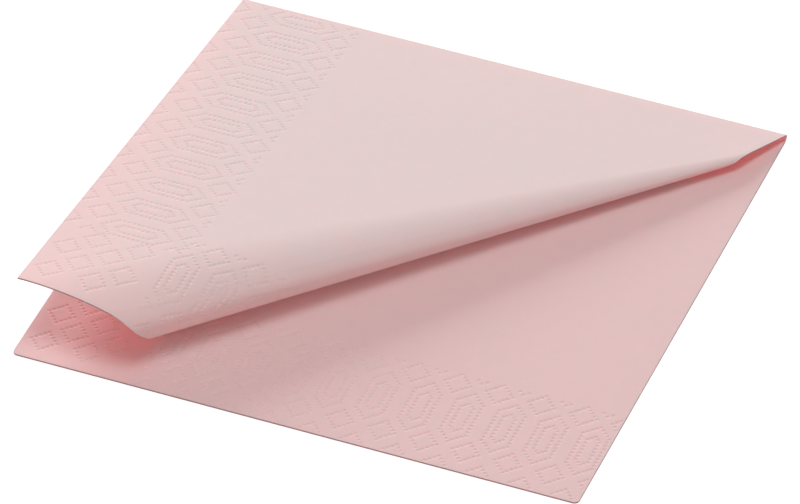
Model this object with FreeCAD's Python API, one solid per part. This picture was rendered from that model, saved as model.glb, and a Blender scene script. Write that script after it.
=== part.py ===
import FreeCAD, Part
import math
import os

from FreeCAD import Rotation, Vector

# A paper napkin folded in quarters and laid flat, all sizes in millimetres and degrees.
# The lower leaf lies on the ground. The upper leaf rises from the closed fold at the back
# towards the open front left corner, and its front right corner is rolled under.
# X runs along the front edge, Y towards the closed fold, Z up. The origin is on the ground
# under the centre of the folded square.

# The folded square
leaf_side = 165.0
leaf_thickness = 0.5
fold_radius = 1.25
cut_corner_radius = 1.5

# How the upper leaf lies
lift_angle = 7.6
front_setback = 3.4
left_setback = 0.3

# The side edge of the upper leaf is drawn in where the roll pinches it beside the fold
pinch_width = 13.0
pinch_length = 28.0

# The roll is wound on three cones that share one tip, just outside the closed corner:
# a gentle bend down, a tight turn at the front and a wider one underneath
tip_beyond_side = 3.8
tip_ahead_of_fold = 3.7
onset_from_corner = 0.1
gentle_sector = 5.0
gentle_turn = 24.7
front_sector = 2.2
front_turn = 84.3
under_sector = 5.55
under_turn = 76.0

# How many cuts through the leaf each bend is drawn through
gentle_steps = 8
front_steps = 16
under_steps = 12

half_side = leaf_side / 2
half_thickness = leaf_thickness / 2
fold_mid_radius = fold_radius - half_thickness
upper_length = leaf_side - fold_radius - front_setback
pinch_slope = pinch_width / pinch_length


class SheetFrame:
    """One ruling of the bent leaf: its angle in the flat leaf, and its three directions in space."""

    def __init__(self, tip, flat_angle, ruling, across, normal):
        self.tip = tip
        self.flat_angle = flat_angle
        self.ruling = ruling
        self.across = across
        self.normal = normal

    def bent(self, sector, turn):
        """The frame after the leaf has gone through a flat sector while turning down on a cone."""
        curvature = turn / sector
        cone_axis = self.normal - self.ruling * curvature
        swing = sector * math.hypot(1.0, curvature)
        rotation = Rotation(cone_axis, swing)
        return SheetFrame(
            self.tip,
            self.flat_angle - math.radians(sector),
            rotation.multVec(self.ruling),
            rotation.multVec(self.across),
            rotation.multVec(self.normal),
        )

    def place(self, distance, flat_angle, offset):
        """The point at a distance from the tip, in the flat tangent sheet of this ruling."""
        angle = self.flat_angle - flat_angle
        direction = self.ruling * math.cos(angle) + self.across * math.sin(angle)
        return self.tip + direction * distance + self.normal * offset


# Flat leaf: x as on the folded square, s measured from the closed fold towards the front edge

tip_x = half_side + tip_beyond_side
tip_s = tip_ahead_of_fold
left_corner_x = left_setback - half_side


def front_edge_distance(flat_angle):
    """From the tip to the straight front edge, along a ruling."""
    return (upper_length - tip_s) / math.cos(flat_angle)


def side_edge_distance(flat_angle):
    """From the tip to the side edge, which runs inwards from the closed corner."""
    reach = tip_x + pinch_slope * tip_s - half_side
    return reach / (math.sin(flat_angle) - pinch_slope * math.cos(flat_angle))


def polar(x, s):
    """Distance and angle of a point of the flat leaf, seen from the tip."""
    return math.hypot(tip_x - x, s - tip_s), math.atan2(tip_x - x, s - tip_s)


def onset_frame():
    """The last straight ruling of the raised, flat part of the upper leaf."""
    lift = math.radians(lift_angle)
    along = Vector(1, 0, 0)
    forward = Vector(0, -math.cos(lift), math.sin(lift))
    normal = Vector(0, math.sin(lift), math.cos(lift))
    hinge = Vector(0, half_side - fold_radius, fold_radius) + normal * fold_mid_radius
    tip = hinge + along * tip_x + forward * tip_s
    onset_x = left_corner_x + onset_from_corner
    angle = polar(onset_x, upper_length)[1]
    ruling = forward * math.cos(angle) - along * math.sin(angle)
    across = along * math.cos(angle) + forward * math.sin(angle)
    return SheetFrame(tip, angle, ruling, across, normal)


def flat_panel(frame, outline):
    """A flat piece of the leaf with its full thickness, from points as distance and angle."""
    points = [frame.place(distance, angle, -half_thickness) for distance, angle in outline]
    face = Part.Face(Part.makePolygon(points + points[:1]))
    return face.extrude(frame.normal * leaf_thickness)


def cross_section(frame):
    """The cut through the leaf along one ruling, from the side edge to the front edge."""
    near = side_edge_distance(frame.flat_angle)
    far = front_edge_distance(frame.flat_angle)
    outline = [
        (near, -half_thickness),
        (far, -half_thickness),
        (far, half_thickness),
        (near, half_thickness),
    ]
    corners = [frame.place(distance, frame.flat_angle, offset) for distance, offset in outline]
    return Part.makePolygon(corners + corners[:1])


def bend(start, sector, turn, steps):
    """A stretch of the leaf wound on a cone, and the frame where it ends."""
    shares = [step / steps for step in range(1, steps + 1)]
    frames = [start] + [start.bent(sector * share, turn * share) for share in shares]
    return Part.makeLoft([cross_section(frame) for frame in frames], True), frames[-1]


def raised_panel(onset):
    """The flat part of the upper leaf, from the closed fold to the onset of the bend."""
    angle = onset.flat_angle
    return flat_panel(
        onset,
        [
            polar(-half_side, 0.0),
            polar(left_corner_x, upper_length),
            (front_edge_distance(angle), angle),
            (side_edge_distance(angle), angle),
            polar(half_side, 0.0),
        ],
    )


def tucked_panel(end):
    """The flat corner behind the roll, which lies hidden between the two leaves."""
    angle = end.flat_angle
    return flat_panel(
        end,
        [
            (side_edge_distance(angle), angle),
            (front_edge_distance(angle), angle),
            polar(half_side, upper_length),
            polar(half_side - pinch_width, pinch_length),
        ],
    )


def lower_leaf():
    """The leaf on the ground, with slightly worn cut corners at the front."""
    depth = leaf_side - fold_radius
    leaf = Part.makeBox(leaf_side, depth, leaf_thickness, Vector(-half_side, -half_side, 0))
    front_corners = [
        edge
        for edge in leaf.Edges
        if edge.BoundBox.XLength < half_thickness
        and edge.BoundBox.YLength < half_thickness
        and edge.CenterOfMass.y < 0
    ]
    return leaf.makeFillet(cut_corner_radius, front_corners)


def closed_fold():
    """The round back where the paper turns from the lower leaf into the upper one."""
    centre = Vector(-half_side, half_side - fold_radius, fold_radius)
    end_angle = 90.0 - lift_angle

    def rim(radius, angle):
        turned = math.radians(angle)
        return centre + Vector(0, radius * math.cos(turned), radius * math.sin(turned))

    def arc(radius):
        middle = (end_angle - 90.0) / 2
        return Part.Arc(rim(radius, -90.0), rim(radius, middle), rim(radius, end_angle)).toShape()

    inner_radius = fold_radius - leaf_thickness
    section = Part.Wire(
        [
            arc(fold_radius),
            Part.makeLine(rim(fold_radius, end_angle), rim(inner_radius, end_angle)),
            arc(inner_radius),
            Part.makeLine(rim(inner_radius, -90.0), rim(fold_radius, -90.0)),
        ]
    )
    return Part.Face(section).extrude(Vector(leaf_side, 0, 0))


def folded_napkin():
    """The whole napkin as the one sheet that it is."""
    onset = onset_frame()
    gentle_bend, roll_start = bend(onset, gentle_sector, gentle_turn, gentle_steps)
    front_bend, front_end = bend(roll_start, front_sector, front_turn, front_steps)
    under_bend, under_end = bend(front_end, under_sector, under_turn, under_steps)
    stretches = [
        closed_fold(),
        raised_panel(onset),
        gentle_bend,
        front_bend,
        under_bend,
        tucked_panel(under_end),
    ]
    return lower_leaf().fuse(stretches).removeSplitter().Solids[0]


os.makedirs("parts", exist_ok=True)
napkin = folded_napkin()
napkin.exportStep("parts/folded_napkin.step")
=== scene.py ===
from math import atan2, cos, hypot, pi, radians, sin

import bpy
import numpy as np
from mathutils import Matrix, Vector


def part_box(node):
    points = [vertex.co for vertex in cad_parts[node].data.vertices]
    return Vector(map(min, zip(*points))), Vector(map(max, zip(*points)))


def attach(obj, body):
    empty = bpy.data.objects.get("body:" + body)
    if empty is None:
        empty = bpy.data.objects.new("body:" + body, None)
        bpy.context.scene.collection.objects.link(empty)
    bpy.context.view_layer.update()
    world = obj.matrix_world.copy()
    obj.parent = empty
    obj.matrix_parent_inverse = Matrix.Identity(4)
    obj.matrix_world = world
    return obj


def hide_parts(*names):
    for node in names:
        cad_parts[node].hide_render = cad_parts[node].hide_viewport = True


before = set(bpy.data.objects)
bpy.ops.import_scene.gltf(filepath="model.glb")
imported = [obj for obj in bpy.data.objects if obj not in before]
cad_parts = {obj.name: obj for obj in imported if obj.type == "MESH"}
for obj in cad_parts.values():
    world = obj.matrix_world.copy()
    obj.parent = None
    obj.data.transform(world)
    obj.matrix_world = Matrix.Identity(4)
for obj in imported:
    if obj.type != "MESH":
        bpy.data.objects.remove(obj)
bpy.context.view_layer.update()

bl_info = {
    "name": "Folded paper napkin",
    "version": (1, 0, 0),
    "blender": (4, 5, 0),
    "location": "View3D > Sidebar > Napkin",
    "description": "A quarter-folded embossed tissue napkin with one corner rolled under",
    "category": "Add Mesh",
}

NODE = "folded_napkin"
MM = 0.001
LEAF_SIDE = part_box(NODE)[1][0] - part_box(NODE)[0][0]
HALF_SIDE = LEAF_SIDE / 2


class NapkinSettings(bpy.types.PropertyGroup):
    """The folded sheet's sizes, which repeat the solid's own, and the emboss."""

    thickness: bpy.props.FloatProperty(
        name="Leaf thickness",
        description="Two pressed layers of tissue",
        default=0.5 * MM,
        unit="LENGTH",
    )
    fold_radius: bpy.props.FloatProperty(
        name="Fold radius",
        description="Outside radius of the closed fold at the back",
        default=1.25 * MM,
        unit="LENGTH",
    )
    corner_radius: bpy.props.FloatProperty(
        name="Cut corner radius",
        description="Worn rounding of the lower leaf's two front corners",
        default=1.5 * MM,
        unit="LENGTH",
    )
    lift: bpy.props.FloatProperty(
        name="Lift",
        description="Angle between the two leaves",
        default=radians(7.6),
        subtype="ANGLE",
    )
    front_setback: bpy.props.FloatProperty(
        name="Front setback",
        description="How much the upper leaf is shorter than the lower one",
        default=3.4 * MM,
        unit="LENGTH",
    )
    left_setback: bpy.props.FloatProperty(
        name="Left setback",
        description="How far the upper leaf's front left corner lies inwards",
        default=0.3 * MM,
        unit="LENGTH",
    )
    pinch_width: bpy.props.FloatProperty(
        name="Pinch width",
        description="How far the side edge is drawn in where the roll pinches it",
        default=13.0 * MM,
        unit="LENGTH",
    )
    pinch_length: bpy.props.FloatProperty(
        name="Pinch length",
        description="Length from the closed fold over which the side edge is drawn in",
        default=28.0 * MM,
        unit="LENGTH",
    )
    tip_beyond_side: bpy.props.FloatProperty(
        name="Tip beyond the side",
        description="Place of the roll's cone tip outside the closed corner",
        default=3.8 * MM,
        unit="LENGTH",
    )
    tip_ahead: bpy.props.FloatProperty(
        name="Tip ahead of the fold",
        description="Distance of the roll's cone tip from the closed fold, along the leaf",
        default=3.7 * MM,
        unit="LENGTH",
    )
    onset: bpy.props.FloatProperty(
        name="Onset from the corner",
        description="Where the bend begins on the front edge, from the raised corner",
        default=0.1 * MM,
        unit="LENGTH",
    )
    gentle_sector: bpy.props.FloatProperty(
        name="Gentle sector",
        description="Angle of the flat leaf that the gentle bend takes up",
        default=radians(5.0),
        subtype="ANGLE",
    )
    gentle_turn: bpy.props.FloatProperty(
        name="Gentle turn",
        description="Angle that the leaf turns through in the gentle bend",
        default=radians(24.7),
        subtype="ANGLE",
    )
    front_sector: bpy.props.FloatProperty(
        name="Front sector",
        description="Angle of the flat leaf that the tight bend at the front takes up",
        default=radians(2.2),
        subtype="ANGLE",
    )
    front_turn: bpy.props.FloatProperty(
        name="Front turn",
        description="Angle that the leaf turns through in the tight bend at the front",
        default=radians(84.3),
        subtype="ANGLE",
    )
    under_sector: bpy.props.FloatProperty(
        name="Under sector",
        description="Angle of the flat leaf that the wider bend under the roll takes up",
        default=radians(5.55),
        subtype="ANGLE",
    )
    under_turn: bpy.props.FloatProperty(
        name="Under turn",
        description="Angle that the leaf turns through in the wider bend under the roll",
        default=radians(76.0),
        subtype="ANGLE",
    )
    border: bpy.props.FloatProperty(
        name="Border width",
        description="Width of the embossed border along the two open edges",
        default=38.6 * MM,
        unit="LENGTH",
    )
    repeat: bpy.props.FloatProperty(
        name="Pattern repeat",
        description="Length of one repeat of the border",
        default=12.15 * MM,
        unit="LENGTH",
    )
    dot_radius: bpy.props.FloatProperty(
        name="Dot radius",
        description="Radius of one pressed dot",
        default=0.45 * MM,
        unit="LENGTH",
    )
    dot_depth: bpy.props.FloatProperty(
        name="Dot depth",
        description="Depth of one pressed dot",
        default=0.25 * MM,
        unit="LENGTH",
    )
    colour: bpy.props.FloatVectorProperty(
        name="Tissue colour",
        description="Colour of the dyed tissue in plain light",
        subtype="COLOR",
        size=3,
        min=0.0,
        max=1.0,
        default=(0.97, 0.985, 0.965),
    )
    # Painted shade: a darker, deeper pink copy of the tissue colour for the lower leaf's upper face,
    # standing in for the shade it lies in under the raised leaf and the roll.
    shaded_inner_colour: bpy.props.FloatVectorProperty(
        name="Inner side colour",
        description="The slightly deeper pink of the sides that face each other",
        subtype="COLOR",
        size=3,
        min=0.0,
        max=1.0,
        default=(0.91, 0.89, 0.88),
    )
    glow_colour: bpy.props.FloatVectorProperty(
        name="Colour of light through the tissue",
        description="Deeper pink that light takes on when it passes through a leaf",
        subtype="COLOR",
        size=3,
        min=0.0,
        max=1.0,
        default=(1.0, 0.26, 0.27),
    )
    inside_share: bpy.props.FloatProperty(
        name="Light through the inside",
        description="Share of the light that passes through the inner side of the raised leaf",
        default=0.54,
        min=0.0,
        max=1.0,
        subtype="FACTOR",
    )
    through_share: bpy.props.FloatProperty(
        name="Light through the tissue",
        description="Share of the light that passes through a side instead of coming back",
        default=0.30,
        min=0.0,
        max=1.0,
        subtype="FACTOR",
    )
    # Painted shade: a dark colour on the cut edges, standing in for the thin shaded line along the
    # rims.
    shaded_edge_colour: bpy.props.FloatVectorProperty(
        name="Edge colour",
        description="The darker look of the pressed layers where they are cut",
        subtype="COLOR",
        size=3,
        min=0.0,
        max=1.0,
        default=(0.50, 0.40, 0.40),
    )


class StageSettings(bpy.types.PropertyGroup):
    """The camera, floor and lights."""

    azimuth: bpy.props.FloatProperty(
        name="Azimuth",
        description="Camera heading, anticlockwise from straight behind the front edge",
        default=radians(21.797),
        subtype="ANGLE",
    )
    elevation: bpy.props.FloatProperty(
        name="Elevation",
        description="Camera height above the horizon",
        default=radians(40.237),
        subtype="ANGLE",
    )
    distance: bpy.props.FloatProperty(
        name="Distance",
        description="From the camera to the napkin's middle",
        default=2.2992,
        unit="LENGTH",
    )
    lens: bpy.props.FloatProperty(
        name="Lens",
        description="Focal length in millimetres on a 36 mm sensor",
        default=374.25,
        unit="CAMERA",
    )
    overhead_power: bpy.props.FloatProperty(
        name="Overhead power",
        description="Power of the soft light above the napkin",
        default=15.5,
        unit="POWER",
    )
    front_power: bpy.props.FloatProperty(
        name="Front power",
        description="Power of the weak soft light from the camera's side",
        default=5.0,
        unit="POWER",
    )
    back_power: bpy.props.FloatProperty(
        name="Back power",
        description="Power of the low soft light behind the napkin",
        default=33.0,
        unit="POWER",
    )
    surround: bpy.props.FloatProperty(
        name="Surround",
        description="Strength of the even white light from all round",
        default=0.25,
        min=0.0,
    )


# Places on the flat leaf: x as on the folded square, s from the closed fold to the front edge


class UpperSheet:
    """The fold, the raised leaf and its roll, as one formula over the flat leaf."""

    def __init__(self, p):
        self.p = p
        self.length = LEAF_SIDE - p.fold_radius - p.front_setback
        self.tip_x = HALF_SIDE + p.tip_beyond_side
        self.tip_s = p.tip_ahead
        self.along = np.array([1.0, 0.0, 0.0])
        self.forward = np.array([0.0, -cos(p.lift), sin(p.lift)])
        self.normal = np.array([0.0, sin(p.lift), cos(p.lift)])
        self.fold_centre = np.array([0.0, HALF_SIDE - p.fold_radius, p.fold_radius])
        self.mid_radius = p.fold_radius - p.thickness / 2
        self.hinge = self.fold_centre + self.normal * self.mid_radius
        self.fold_length = self.mid_radius * (pi - p.lift)
        onset_x = p.left_setback - HALF_SIDE + p.onset
        self.onset_angle = atan2(self.tip_x - onset_x, self.length - self.tip_s)
        self.bends = (
            (p.gentle_sector, p.gentle_turn),
            (p.front_sector, p.front_turn),
            (p.under_sector, p.under_turn),
        )

    def left(self, s):
        """The left edge leans in by the setback over the length of the leaf."""
        return -HALF_SIDE + self.p.left_setback * np.clip(s / self.length, 0, 1)

    def right(self, s):
        """The right edge runs in to the pinch, then out again to the tucked corner."""
        drawn_in = np.clip(s / self.p.pinch_length, 0, 1)
        back_out = np.clip((s - self.p.pinch_length) / (self.length - self.p.pinch_length), 0, 1)
        return HALF_SIDE - self.p.pinch_width * (drawn_in - back_out)

    def turned(self, vector, axis, angle):
        """A vector turned about a unit axis by an array of angles, by Rodrigues' formula."""
        angle = angle[..., None]
        across = np.cross(axis, vector)
        kept = axis * np.sum(axis * vector, -1, keepdims=True)
        return vector * np.cos(angle) + across * np.sin(angle) + kept * (1 - np.cos(angle))

    def after_bend(self, vectors, sector, turn, angle):
        """The three vectors at angles into a bend wound on a cone: turned about its axis."""
        curvature = turn / sector
        swing = hypot(1.0, curvature)
        axis = (vectors[2] - vectors[0] * curvature) / swing
        return [self.turned(vector, axis, angle * swing) for vector in vectors]

    def sheet_vectors(self, angle):
        """Ruling, across and normal at flat angles past the onset, through each bend in turn."""
        start = self.onset_angle
        vectors = [
            self.forward * cos(start) - self.along * sin(start),
            self.along * cos(start) + self.forward * sin(start),
            self.normal,
        ]
        passed = 0.0
        for sector, turn in self.bends:
            into = np.clip(angle - passed, 0, sector)
            vectors = self.after_bend(vectors, sector, turn, into)
            passed += sector
        return vectors

    def leaf_points(self, x, s, offset):
        """Points of the raised leaf: the tip plus the distance along each ruling, off its normal."""
        distance = np.hypot(self.tip_x - x, s - self.tip_s)
        angle = self.onset_angle - np.arctan2(self.tip_x - x, s - self.tip_s)
        bent = np.clip(angle, 0, sum(sector for sector, _ in self.bends))
        ruling, across, normal = self.sheet_vectors(bent)
        rest = (angle - bent)[..., None]
        direction = ruling * np.cos(rest) + across * np.sin(rest)
        tip = self.hinge + self.along * self.tip_x + self.forward * self.tip_s
        return tip + direction * distance[..., None] + normal * offset[..., None]

    def fold_points(self, x, s, offset):
        """Points of the closed fold: a turn about its centre line, back from the hinge."""
        angle = pi / 2 - self.p.lift + s / self.mid_radius
        radius = self.mid_radius + offset
        return self.fold_centre + np.stack([x, np.cos(angle) * radius, np.sin(angle) * radius], -1)

    def lower_points(self, x, s, offset):
        """Points of the flat lower leaf: straight forward from under the fold's centre line."""
        y = self.fold_centre[1] + self.fold_length + s
        return np.stack([x, y, self.p.thickness / 2 - offset], -1)

    def points(self, x, s, offset):
        """The raised leaf where s is positive, then the fold, then the lower leaf."""
        raised = self.leaf_points(x, np.maximum(s, 0), offset)
        folded = self.fold_points(x, np.clip(s, -self.fold_length, 0), offset)
        lower = self.lower_points(x, np.minimum(s, -self.fold_length), offset)
        past_fold = (s < -self.fold_length)[..., None]
        return np.where((s > 0)[..., None], raised, np.where(past_fold, lower, folded))


# The emboss. Its places and sizes are in millimetres, u along an open edge and v inwards from it


DOT_PITCH = 1.36
DIAMOND_HALF = (3.75, 3.9)
HEXAGON_HALF_WIDTH = 3.75
HEXAGON_TIPS = (10.4, 30.8)
CORE_HALF_WIDTH = 1.7
CORE_TIPS = (14.6, 26.6)
LOW_DIAMOND, HIGH_DIAMOND = 7.9, 33.3
CHEVRON_DOTS = ((-1.3, 36.6), (0.0, 35.6), (1.3, 36.6))
CORNER_STEP = (6.45, 6.1)
CORNER_FIRST = (6.2, 7.8)
CORNER_COUNT = 6
CORNER_SIZE = 34.0
FIRST_ALONG_FRONT = 38.6
FIRST_ALONG_LEFT = 34.4


def dotted_line(start, end, pitch):
    """Dots at an even pitch from one point up to, but not including, the next."""
    start, end = np.array(start), np.array(end)
    count = max(1, round(float(np.hypot(*(end - start))) / pitch))
    shares = np.arange(count)[:, None] / count
    return start + (end - start) * shares


def dotted_ring(corners, pitch):
    """Dots along the sides of a closed outline."""
    sides = zip(corners, corners[1:] + corners[:1])
    return np.concatenate([dotted_line(a, b, pitch) for a, b in sides])


def diamond(u, v):
    """The four corners of an upright diamond about one point."""
    half_width, half_height = DIAMOND_HALF
    return [(u, v - half_height), (u + half_width, v), (u, v + half_height), (u - half_width, v)]


def hexagon(half_width, tips):
    """The six corners of a long hexagon, with square tips, across the border."""
    low, high = tips
    return [
        (0.0, low),
        (half_width, low + half_width),
        (half_width, high - half_width),
        (0.0, high),
        (-half_width, high - half_width),
        (-half_width, low + half_width),
    ]


def repeat_dots(repeat):
    """Dot places of one repeat, with u from the middle of a hexagon."""
    outlines = [
        hexagon(HEXAGON_HALF_WIDTH, HEXAGON_TIPS),
        hexagon(CORE_HALF_WIDTH, CORE_TIPS),
        diamond(repeat / 2, LOW_DIAMOND),
        diamond(repeat / 2, HIGH_DIAMOND),
        diamond(0.0, 0.0),
    ]
    rings = [dotted_ring(outline, DOT_PITCH) for outline in outlines]
    return np.concatenate(rings + [np.array(CHEVRON_DOTS)])


def corner_dots():
    """Dot places of the square corner: a staggered lattice of diamonds."""
    count = range(CORNER_COUNT)
    steps = [(i, j) for j in count for i in count if (i + j) % 2 == 0]
    (first_u, first_v), (step_u, step_v) = CORNER_FIRST, CORNER_STEP
    centres = [(first_u + step_u * i, first_v + step_v * j) for i, j in steps]
    inside = [c for c in centres if max(c) < CORNER_SIZE - DIAMOND_HALF[0]]
    return np.concatenate([dotted_ring(diamond(*c), DOT_PITCH) for c in inside])


def pressed(u, v, dots, radius):
    """Depth from 0 to 1: a round bell about each dot, the deeper of two where they meet."""
    depth = np.zeros_like(u)
    for dot_u, dot_v in dots:
        away = ((u - dot_u) ** 2 + (v - dot_v) ** 2) / radius**2
        np.maximum(depth, np.exp(-away), out=depth)
    return depth


def emboss(p, from_left, from_front):
    """Depth from 0 to 1 of the border's dots, from the distances to the two open edges."""
    left, front = from_left / MM, from_front / MM
    repeat, radius, border = p.repeat / MM, p.dot_radius / MM, p.border / MM
    depth = np.zeros_like(left)
    corner = (left < CORNER_SIZE) & (front < CORNER_SIZE)
    depth[corner] = pressed(left[corner], front[corner], corner_dots(), radius)
    dots = repeat_dots(repeat)
    with_last = np.concatenate([dots, dots - (repeat, 0.0)])
    borders = ((left, front, FIRST_ALONG_FRONT), (front, left, FIRST_ALONG_LEFT))
    for along, inward, first in borders:
        strip = (inward < border) & (along >= first - HEXAGON_HALF_WIDTH - 2 * radius)
        u = (along[strip] - first + repeat / 2) % repeat - repeat / 2
        depth[strip] = np.maximum(depth[strip], pressed(u, inward[strip], with_last, radius))
    return depth


# Dents fade out over these widths at the closed fold and the cut edges, and show less below
FOLD_FADE = 2 * MM
EDGE_FADE = 0.9 * MM
UNDERSIDE_SHARE = 0.25


class Napkin:
    """Both faces and the cut edges of the folded sheet, over a column x and a length s."""

    def __init__(self, p):
        self.p = p
        self.sheet = UpperSheet(p)
        self.lower_length = LEAF_SIDE - p.fold_radius
        self.back = -self.sheet.fold_length
        self.front = self.back - self.lower_length

    def left_edge(self, s):
        """The left outline: straight, leaning in on the raised leaf, round at the lower corner."""
        radius = self.p.corner_radius
        into = np.clip(radius - (s - self.front), 0, radius)
        return self.sheet.left(np.maximum(s, 0)) + radius - np.sqrt(radius**2 - into**2)

    def right_edge(self, s):
        """The right outline: straight, pinched on the raised leaf, round at the lower corner."""
        radius = self.p.corner_radius
        into = np.clip(radius - (s - self.front), 0, radius)
        return self.sheet.right(np.maximum(s, 0)) - radius + np.sqrt(radius**2 - into**2)

    def true_x(self, column, s):
        """A column's place: inside the border it follows the left edge, beyond it the right."""
        border = self.p.border
        inward = column + HALF_SIDE
        near_left = (self.left_edge(s) + HALF_SIDE) * np.clip(1 - inward / border, 0, 1)
        share = np.clip((inward - border) / (LEAF_SIDE - border), 0, 1)
        return column + near_left + (self.right_edge(s) - HALF_SIDE) * share

    def dent(self, x, s):
        """Depth of the dots, from each leaf's own front edge, fading out at the fold and edges."""
        raised = s > self.back / 2
        from_front = np.maximum(np.where(raised, self.sheet.length - s, s - self.front), 0)
        from_fold = np.where(raised, s, self.back - s)
        from_left = x + HALF_SIDE
        from_edge = np.minimum(from_front, np.minimum(from_left, HALF_SIDE - x))
        fade = np.clip(from_fold / FOLD_FADE, 0, 1) * np.clip(from_edge / EDGE_FADE, 0, 1)
        return emboss(self.p, from_left, from_front) * fade * self.p.dot_depth

    def face(self, column, s, side):
        """Points of a face: half the thickness to its side, less the dots pressed from above."""
        x = self.true_x(column, s)
        raised = s > self.back / 2
        dent = self.dent(x, s)
        shift = np.where(raised, -dent, dent if side < 0 else -dent * UNDERSIDE_SHARE)
        return self.sheet.points(x, s, side * self.p.thickness / 2 + shift)

    def rim(self, column, s, share):
        """Points of a cut edge: straight across from the inner face to the outer one."""
        outer, inner = self.face(column, s, 1), self.face(column, s, -1)
        return inner + (outer - inner) * share[..., None]


# Meshes from grids


# Points within WELD_DISTANCE become one where their normals agree to one in WELD_FACING
WELD_DISTANCE = 0.002 * MM
WELD_FACING = 8
NORMAL_STEP = 0.05 * MM
ROUNDING = 1e-9
SHORTEST = 1e-15


def lines(*spans):
    """Grid lines over joined spans, each given as its start, its end and the widest step."""
    parts = []
    for start, end, step in spans:
        count = max(1, int(np.ceil(abs(end - start) / step - ROUNDING)))
        parts.append(np.linspace(start, end, count + 1)[:-1])
    return np.concatenate(parts + [np.array([spans[-1][1]])])


def crossed(du, dv):
    """Unit normals from two edge directions."""
    normal = np.cross(du, dv)
    return normal / np.maximum(np.linalg.norm(normal, axis=-1, keepdims=True), SHORTEST)


def patch(points_at, u_lines, v_lines, facing):
    """Points, quads and normals of a surface over a grid of two parameters, faced to one side.

    The normals are the cross product of the formula's own central differences.
    """
    u, v = np.meshgrid(u_lines, v_lines, indexing="ij")
    points = points_at(u, v)
    normals = crossed(
        points_at(u + NORMAL_STEP, v) - points_at(u - NORMAL_STEP, v),
        points_at(u, v + NORMAL_STEP) - points_at(u, v - NORMAL_STEP),
    )
    index = np.arange(u.size).reshape(u.shape)
    quads = np.stack([index[:-1, :-1], index[1:, :-1], index[1:, 1:], index[:-1, 1:]], -1)
    if facing < 0:
        quads, normals = quads[..., ::-1], -normals
    return points.reshape(-1, 3), quads.reshape(-1, 4), normals.reshape(-1, 3)


def joined(patches):
    """Several patches as one surface, welded where points lie together and face the same way."""
    counts = np.cumsum([0] + [len(points) for points, _, _ in patches[:-1]])
    quads = np.concatenate([quads + start for (_, quads, _), start in zip(patches, counts)])
    points = np.concatenate([points for points, _, _ in patches])
    normals = np.concatenate([normals for _, _, normals in patches])
    places = np.hstack([np.round(points / WELD_DISTANCE), np.round(normals * WELD_FACING)])
    _, kept, welded = np.unique(places, axis=0, return_index=True, return_inverse=True)
    return points[kept], welded.reshape(-1)[quads], normals[kept]


def make_piece(name, patches, material):
    """A smooth mesh object of quads that rides on the napkin and stands for its solid."""
    points, quads, normals = joined(patches)
    mesh = bpy.data.meshes.new(name)
    mesh.vertices.add(len(points))
    mesh.loops.add(quads.size)
    mesh.polygons.add(len(quads))
    mesh.vertices.foreach_set("co", points.astype(np.float32).ravel())
    mesh.loops.foreach_set("vertex_index", quads.astype(np.int32).ravel())
    mesh.polygons.foreach_set("loop_start", np.arange(0, quads.size, 4, dtype=np.int32))
    mesh.update(calc_edges=True)
    mesh.polygons.foreach_set("use_smooth", np.ones(len(quads), bool))
    mesh.normals_split_custom_set_from_vertices(normals.tolist())
    mesh.materials.append(material)
    piece = bpy.data.objects.new(name, mesh)
    bpy.context.scene.collection.objects.link(piece)
    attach(piece, "root")
    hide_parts(NODE)
    return piece


# Steps of the grid. FINE or COARSE holds in the border, and is multiplied by ONE_WAY along it,
# by PINCHED where the pinch bends the sheet, and by PLAIN where it has no dents


FINE = 0.3 * MM
COARSE = 0.6 * MM
ONE_WAY = 1.1
PINCHED = 1.2
PLAIN = 2
FLAT_STEP = 4 * MM
FOLD_STEP = 0.3 * MM
CORNER_LINES = 9
EDGE_LINES = 4


class Grid:
    """The grid lines of the sheet's parts, for one face."""

    def __init__(self, napkin, fine):
        p = napkin.p
        border_end = p.border - HALF_SIDE
        length = napkin.sheet.length
        front_start = length - p.border
        self.border_columns = lines((-HALF_SIDE, border_end, fine))
        self.other_columns = lines((border_end, HALF_SIDE, fine * ONE_WAY))
        self.plain_columns = lines((border_end, HALF_SIDE, fine * PLAIN))
        self.few_columns = lines((border_end, HALF_SIDE, FLAT_STEP))
        self.fold_rows = lines((napkin.back, 0.0, FOLD_STEP))
        self.raised_rows = lines((0.0, front_start, fine * ONE_WAY))
        self.front_rows = lines((front_start, length, fine))
        self.middle_rows = lines(
            (0.0, p.pinch_length, fine * PINCHED),
            (p.pinch_length, 2 * p.pinch_length, fine * PINCHED),
            (2 * p.pinch_length, front_start, fine * PLAIN),
        )
        corner = napkin.front + p.corner_radius
        lower_start = napkin.front + p.border
        turn = np.linspace(0, pi / 2, CORNER_LINES)
        self.lower_front_rows = np.concatenate([
            corner - p.corner_radius * np.cos(turn)[:-1],
            lines((corner, lower_start, fine)),
        ])
        self.lower_rows = lines((lower_start, napkin.back, fine * ONE_WAY))
        self.few_rows = lines((lower_start, napkin.back, FLAT_STEP))


def face_patches(napkin, side, spans):
    """Patches of one face over pairs of column lines and row lines."""

    def points_at(column, s):
        """The napkin's own face, over a column and a length."""
        return napkin.face(column, s, side)

    return [patch(points_at, columns, rows, -side) for columns, rows in spans]


# The tissue


# The inner and edge tissues are darker copies of the tissue colour that paint shade: on the lower
# leaf's upper face and on the cut edges.
OUTER = "outer_tissue"
SHADED_INNER = "shaded_inner_tissue"
INSIDE = "inside_tissue"
SHADED_EDGE = "shaded_cut_edge_tissue"
FIBRES = "tissue_fibres"

# Repeats of the pulp clouds and the fibres in a metre, and how strongly they show
CLOUD_SCALE = 260.0
FIBRE_SCALE = 2600.0
CLOUD_DEEP, CLOUD_PALE = 0.975, 1.02
FIBRE_STRENGTH = 0.25
FIBRE_HEIGHT = 0.06 * MM
ROUGHNESS = 0.92
SPECULAR = 0.12


def fibre_group():
    """Cloudy pulp and fine crossing fibres as masks, built once and shared by every tissue."""
    return bpy.data.node_groups.get(FIBRES) or new_fibre_group()


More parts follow.
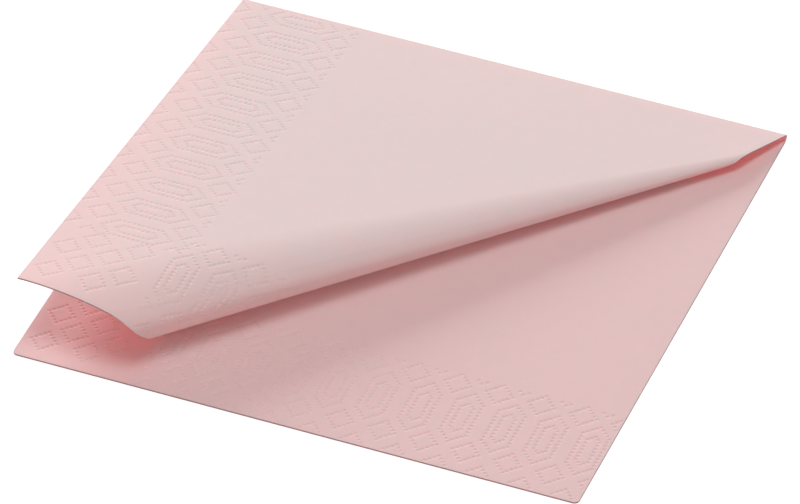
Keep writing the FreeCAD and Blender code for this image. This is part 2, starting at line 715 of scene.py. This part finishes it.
def new_fibre_group():
    """The group itself: a rough noise for the pulp and a finer, swirled one for the fibres."""
    tree = bpy.data.node_groups.new(FIBRES, "ShaderNodeTree")
    face = tree.interface
    face.new_socket("Vector", in_out="INPUT", socket_type="NodeSocketVector")
    face.new_socket("Cloud Scale", in_out="INPUT", socket_type="NodeSocketFloat")
    face.new_socket("Fibre Scale", in_out="INPUT", socket_type="NodeSocketFloat")
    face.new_socket("Cloud", in_out="OUTPUT", socket_type="NodeSocketFloat")
    face.new_socket("Height", in_out="OUTPUT", socket_type="NodeSocketFloat")
    source = tree.nodes.new("NodeGroupInput")
    result = tree.nodes.new("NodeGroupOutput")
    cloud = tree.nodes.new("ShaderNodeTexNoise")
    cloud.inputs["Detail"].default_value = 4.0
    cloud.inputs["Roughness"].default_value = 0.6
    fibres = tree.nodes.new("ShaderNodeTexNoise")
    fibres.inputs["Detail"].default_value = 3.0
    fibres.inputs["Distortion"].default_value = 1.2
    for noise, scale in ((cloud, "Cloud Scale"), (fibres, "Fibre Scale")):
        tree.links.new(source.outputs["Vector"], noise.inputs["Vector"])
        tree.links.new(source.outputs[scale], noise.inputs["Scale"])
    tree.links.new(cloud.outputs["Fac"], result.inputs["Cloud"])
    tree.links.new(fibres.outputs["Fac"], result.inputs["Height"])
    return tree


def placed_fibres(tree):
    """The fibre group in a material, on Object coordinates."""
    coordinates = tree.nodes.new("ShaderNodeTexCoord")
    fibres = tree.nodes.new("ShaderNodeGroup")
    fibres.node_tree = fibre_group()
    fibres.inputs["Cloud Scale"].default_value = CLOUD_SCALE
    fibres.inputs["Fibre Scale"].default_value = FIBRE_SCALE
    tree.links.new(coordinates.outputs["Object"], fibres.inputs["Vector"])
    return fibres


def clouded(tree, fibres, colour):
    """A colour that runs a little deeper and paler with the pulp clouds."""
    tint = tree.nodes.new("ShaderNodeMix")
    tint.data_type = "RGBA"
    colour = np.array(colour)
    tint.inputs["A"].default_value = (*(colour * CLOUD_DEEP), 1.0)
    tint.inputs["B"].default_value = (*np.minimum(colour * CLOUD_PALE, 1.0), 1.0)
    tree.links.new(fibres.outputs["Cloud"], tint.inputs["Factor"])
    return tint.outputs["Result"]


def fibre_bump(tree, fibres):
    """The normal of a face that the fine fibres raise."""
    bump = tree.nodes.new("ShaderNodeBump")
    bump.inputs["Strength"].default_value = FIBRE_STRENGTH
    bump.inputs["Distance"].default_value = FIBRE_HEIGHT
    tree.links.new(fibres.outputs["Height"], bump.inputs["Height"])
    return bump.outputs["Normal"]


def tissue_material(name, colour, share, glow_colour):
    """Matt dyed tissue: pulp clouds in its colour, fibre bump, and some light through it."""
    material = bpy.data.materials.new(name)
    material.use_nodes = True
    tree = material.node_tree
    nodes, links = tree.nodes, tree.links
    fibres = placed_fibres(tree)
    normal = fibre_bump(tree, fibres)
    shader = nodes["Principled BSDF"]
    shader.inputs["Roughness"].default_value = ROUGHNESS
    shader.inputs["Specular IOR Level"].default_value = SPECULAR
    links.new(clouded(tree, fibres, colour), shader.inputs["Base Color"])
    links.new(normal, shader.inputs["Normal"])
    through = nodes.new("ShaderNodeBsdfTranslucent")
    through.inputs["Color"].default_value = (*glow_colour, 1.0)
    links.new(normal, through.inputs["Normal"])
    mixed = nodes.new("ShaderNodeMixShader")
    mixed.inputs["Fac"].default_value = share
    links.new(shader.outputs["BSDF"], mixed.inputs[1])
    links.new(through.outputs["BSDF"], mixed.inputs[2])
    links.new(mixed.outputs["Shader"], nodes["Material Output"].inputs["Surface"])
    return material


def tissue(settings, name=OUTER):
    """One of the four tissues by its name, made at its first use. The inner and edge tissues are
    darker copies that paint shade.
    """
    made = bpy.data.materials.get(name)
    if made:
        return made
    share = settings.through_share
    kinds = {
        OUTER: (settings.colour, share),
        SHADED_INNER: (settings.shaded_inner_colour, share),
        INSIDE: (settings.colour, settings.inside_share),
        SHADED_EDGE: (settings.shaded_edge_colour, share / 2),
    }
    return tissue_material(name, *kinds[name], settings.glow_colour)


# The pieces


class NAPKIN_OT_raised_leaf(bpy.types.Operator):
    """Make the outer face of the raised leaf, its roll and the back of the fold"""

    bl_idname = "napkin.raised_leaf"
    bl_label = "Raised leaf"

    def execute(self, context):
        p = context.scene.napkin
        napkin, paper = Napkin(p), tissue(p)
        g = Grid(napkin, FINE)
        parts = {
            "leaf_left_border": [
                (g.border_columns, g.fold_rows),
                (g.border_columns, g.raised_rows),
                (g.border_columns, g.front_rows),
            ],
            "leaf_front_border": [(g.other_columns, g.front_rows)],
            "leaf_middle": [(g.plain_columns, g.fold_rows), (g.plain_columns, g.middle_rows)],
        }
        for name, spans in parts.items():
            make_piece(name, face_patches(napkin, 1, spans), paper)
        return {"FINISHED"}


class NAPKIN_OT_leaf_inside(bpy.types.Operator):
    """Make the inner face of the raised leaf, from the fold round to the tucked corner"""

    bl_idname = "napkin.leaf_inside"
    bl_label = "Inside of the leaf"

    def execute(self, context):
        p = context.scene.napkin
        napkin, paper = Napkin(p), tissue(p, INSIDE)
        g = Grid(napkin, COARSE)
        spans = [
            (g.border_columns, g.fold_rows),
            (g.border_columns, g.raised_rows),
            (g.border_columns, g.front_rows),
            (g.plain_columns, g.fold_rows),
            (g.plain_columns, g.middle_rows),
            (g.other_columns, g.front_rows),
        ]
        make_piece("leaf_inside", face_patches(napkin, -1, spans), paper)
        return {"FINISHED"}


class NAPKIN_OT_lower_leaf(bpy.types.Operator):
    """Make the upper face and the underside of the leaf that lies flat"""

    bl_idname = "napkin.lower_leaf"
    bl_label = "Lower leaf"

    def left_spans(self, g):
        """The border along the left edge, as far as the fold."""
        return [(g.border_columns, g.lower_front_rows), (g.border_columns, g.lower_rows)]

    def front_spans(self, g):
        """The border along the front edge, and the plain middle behind it."""
        return [(g.other_columns, g.lower_front_rows), (g.few_columns, g.few_rows)]

    def execute(self, context):
        p = context.scene.napkin
        napkin = Napkin(p)
        top, below = Grid(napkin, FINE), Grid(napkin, COARSE)
        parts = (
            # The lower leaf's upper face takes the darker inner tissue: painted shade.
            ("lower_left_border", -1, SHADED_INNER, self.left_spans(top)),
            ("lower_front_border", -1, SHADED_INNER, self.front_spans(top)),
            ("lower_underside", 1, OUTER, self.left_spans(below) + self.front_spans(below)),
        )
        for name, side, paper, spans in parts:
            make_piece(name, face_patches(napkin, side, spans), tissue(p, paper))
        return {"FINISHED"}


class NAPKIN_OT_cut_edges(bpy.types.Operator):
    """Make the thin edges all round, where the leaves end"""

    bl_idname = "napkin.cut_edges"
    bl_label = "Cut edges"

    def side_edge(self, napkin, column):
        """The rim of one side, over s and the share of the way across, in millimetres."""
        return lambda s, across: napkin.rim(np.full_like(s, column), s, across / MM)

    def front_edge(self, napkin, end):
        """The rim of one leaf's front, over x and the share of the way across, in millimetres."""
        return lambda x, across: napkin.rim(x, np.full_like(x, end), across / MM)

    def execute(self, context):
        p = context.scene.napkin
        # The cut edges take the dark edge tissue: painted shade.
        napkin, paper = Napkin(p), tissue(p, SHADED_EDGE)
        g = Grid(napkin, FINE)
        rows = (g.lower_front_rows, g.lower_rows, g.fold_rows, g.raised_rows)
        along_side = np.concatenate([row[:-1] for row in rows] + [g.front_rows])
        along_front = np.concatenate([g.border_columns[:-1], g.other_columns])
        across = np.linspace(0, 1, EDGE_LINES) * MM
        patches = []
        for column, facing in ((-HALF_SIDE, 1), (HALF_SIDE, -1)):
            edge = self.side_edge(napkin, column)
            patches.append(patch(edge, along_side, across, facing))
        for end, facing in ((napkin.front, -1), (napkin.sheet.length, 1)):
            edge = self.front_edge(napkin, end)
            patches.append(patch(edge, along_front, across, facing))
        make_piece("cut_edges", patches, paper)
        return {"FINISHED"}


class NAPKIN_OT_flat_sizes(bpy.types.Operator):
    """An empty step: it makes and changes nothing"""

    bl_idname = "napkin.flat_sizes"
    bl_label = "Flat sizes"

    def execute(self, context):
        return {"FINISHED"}


class NAPKIN_OT_stage(bpy.types.Operator):
    """Make the floor, the soft lights and the camera"""

    bl_idname = "napkin.stage"
    bl_label = "Stage"

    def execute(self, context):
        make_floor()
        make_lights(context.scene.napkin_stage)
        make_camera(context.scene.napkin_stage)
        context.scene.view_settings.view_transform = "Standard"
        return {"FINISHED"}


WHITE = (1.0, 1.0, 1.0, 1.0)
FLOOR_HALF = 3.0
FLOOR_LEVEL = -0.1 * MM
FLOOR_COLOUR = (0.70, 0.70, 0.70, 1.0)
FLOOR_ROUGHNESS = 0.9
FLOOR_LIFT = 0.65


def seen_directly(tree):
    """One for rays from the camera, straight or through a mirror or glass, else nought."""
    path = tree.nodes.new("ShaderNodeLightPath")
    seen = path.outputs["Is Camera Ray"]
    for ray in ("Is Glossy Ray", "Is Transmission Ray"):
        either = tree.nodes.new("ShaderNodeMath")
        either.operation = "MAXIMUM"
        tree.links.new(seen, either.inputs[0])
        tree.links.new(path.outputs[ray], either.inputs[1])
        seen = either.outputs["Value"]
    return seen


def make_floor():
    """A wide pale floor just under the napkin, which keeps its soft shadow."""
    mesh = bpy.data.meshes.new("floor")
    signs = ((-1, -1), (1, -1), (1, 1), (-1, 1))
    corners = [(i * FLOOR_HALF, j * FLOOR_HALF, FLOOR_LEVEL) for i, j in signs]
    mesh.from_pydata(corners, [], [(0, 1, 2, 3)])
    material = bpy.data.materials.new("floor")
    material.use_nodes = True
    tree = material.node_tree
    shader = tree.nodes["Principled BSDF"]
    shader.inputs["Base Color"].default_value = FLOOR_COLOUR
    shader.inputs["Roughness"].default_value = FLOOR_ROUGHNESS
    shader.inputs["Specular IOR Level"].default_value = 0.0
    shader.inputs["Emission Color"].default_value = WHITE
    lifted = tree.nodes.new("ShaderNodeMath")
    lifted.operation = "MULTIPLY"
    lifted.inputs[1].default_value = FLOOR_LIFT
    tree.links.new(seen_directly(tree), lifted.inputs[0])
    tree.links.new(lifted.outputs["Value"], shader.inputs["Emission Strength"])
    mesh.materials.append(material)
    floor = bpy.data.objects.new("floor", mesh)
    bpy.context.scene.collection.objects.link(floor)


OVERHEAD_PLACE, OVERHEAD_SIZE = (0.08, -0.3, 2.18), 0.9
FRONT_PLACE, FRONT_SIZE = (0.71, -1.77, 1.1), 0.9
BACK_PLACE, BACK_SIZE = (-1.0, 1.8, 0.75), 0.8


def soft_light(name, place, size, power):
    """A square soft light at a place, turned to the napkin."""
    lamp = bpy.data.lights.new(name, "AREA")
    lamp.shape = "SQUARE"
    lamp.size = size
    lamp.energy = power
    light = bpy.data.objects.new(name, lamp)
    bpy.context.scene.collection.objects.link(light)
    aim = (-Vector(place)).to_track_quat("-Z", "Y").to_matrix().to_4x4()
    light.matrix_world = Matrix.Translation(place) @ aim


def make_lights(stage):
    """Soft lights overhead, in front and low behind, and an even white surround."""
    soft_light("overhead_light", OVERHEAD_PLACE, OVERHEAD_SIZE, stage.overhead_power)
    soft_light("front_light", FRONT_PLACE, FRONT_SIZE, stage.front_power)
    soft_light("back_light", BACK_PLACE, BACK_SIZE, stage.back_power)
    world = bpy.data.worlds.new("surround")
    bpy.context.scene.world = world
    world.use_nodes = True
    tree = world.node_tree
    background = tree.nodes["Background"]
    background.inputs["Color"].default_value = WHITE
    strength = tree.nodes.new("ShaderNodeMix")
    strength.inputs["A"].default_value = stage.surround
    strength.inputs["B"].default_value = 1.0
    tree.links.new(seen_directly(tree), strength.inputs["Factor"])
    tree.links.new(strength.outputs["Result"], background.inputs["Strength"])


SENSOR_WIDTH = 36.0
FAR_CLIP = 20.0
AIM = (-0.282 * MM, -3.148 * MM, 0.0)


def make_camera(stage):
    """The camera at the photograph's angle, level, aimed at the napkin's middle."""
    camera_data = bpy.data.cameras.new("camera")
    camera_data.sensor_width = SENSOR_WIDTH
    camera_data.lens = stage.lens
    camera_data.clip_end = FAR_CLIP
    camera = bpy.data.objects.new("camera", camera_data)
    bpy.context.scene.collection.objects.link(camera)
    az, el = stage.azimuth, stage.elevation
    forward = Vector((-sin(az) * cos(el), cos(az) * cos(el), -sin(el)))
    right = Vector((cos(az), sin(az), 0.0))
    up = right.cross(forward)
    turn = Matrix((right, up, -forward)).transposed().to_4x4()
    place = Vector(AIM) - forward * stage.distance
    camera.matrix_world = Matrix.Translation(place) @ turn
    bpy.context.scene.camera = camera


class NAPKIN_PT_panel(bpy.types.Panel):
    """The steps in order, with the sizes and colours they use"""

    bl_idname = "NAPKIN_PT_panel"
    bl_label = "Folded napkin"
    bl_space_type = "VIEW_3D"
    bl_region_type = "UI"
    bl_category = "Napkin"

    def draw(self, context):
        for step in STEPS:
            self.layout.operator(step.bl_idname)
        for settings in (context.scene.napkin, context.scene.napkin_stage):
            for name in settings.bl_rna.properties.keys():
                if name not in ("rna_type", "name"):
                    self.layout.prop(settings, name)


STEPS = (
    NAPKIN_OT_stage,
    NAPKIN_OT_raised_leaf,
    NAPKIN_OT_leaf_inside,
    NAPKIN_OT_lower_leaf,
    NAPKIN_OT_cut_edges,
    NAPKIN_OT_flat_sizes,
)
CLASSES = (NapkinSettings, StageSettings, *STEPS, NAPKIN_PT_panel)


def register():
    for cls in CLASSES:
        bpy.utils.register_class(cls)
    bpy.types.Scene.napkin = bpy.props.PointerProperty(type=NapkinSettings)
    bpy.types.Scene.napkin_stage = bpy.props.PointerProperty(type=StageSettings)


def unregister():
    del bpy.types.Scene.napkin_stage
    del bpy.types.Scene.napkin
    for cls in reversed(CLASSES):
        bpy.utils.unregister_class(cls)


def main():
    register()
    bpy.ops.napkin.stage()
    bpy.ops.napkin.raised_leaf()
    bpy.ops.napkin.leaf_inside()
    bpy.ops.napkin.lower_leaf()
    bpy.ops.napkin.cut_edges()
    bpy.ops.napkin.flat_sizes()


if __name__ == "__main__":
    main()
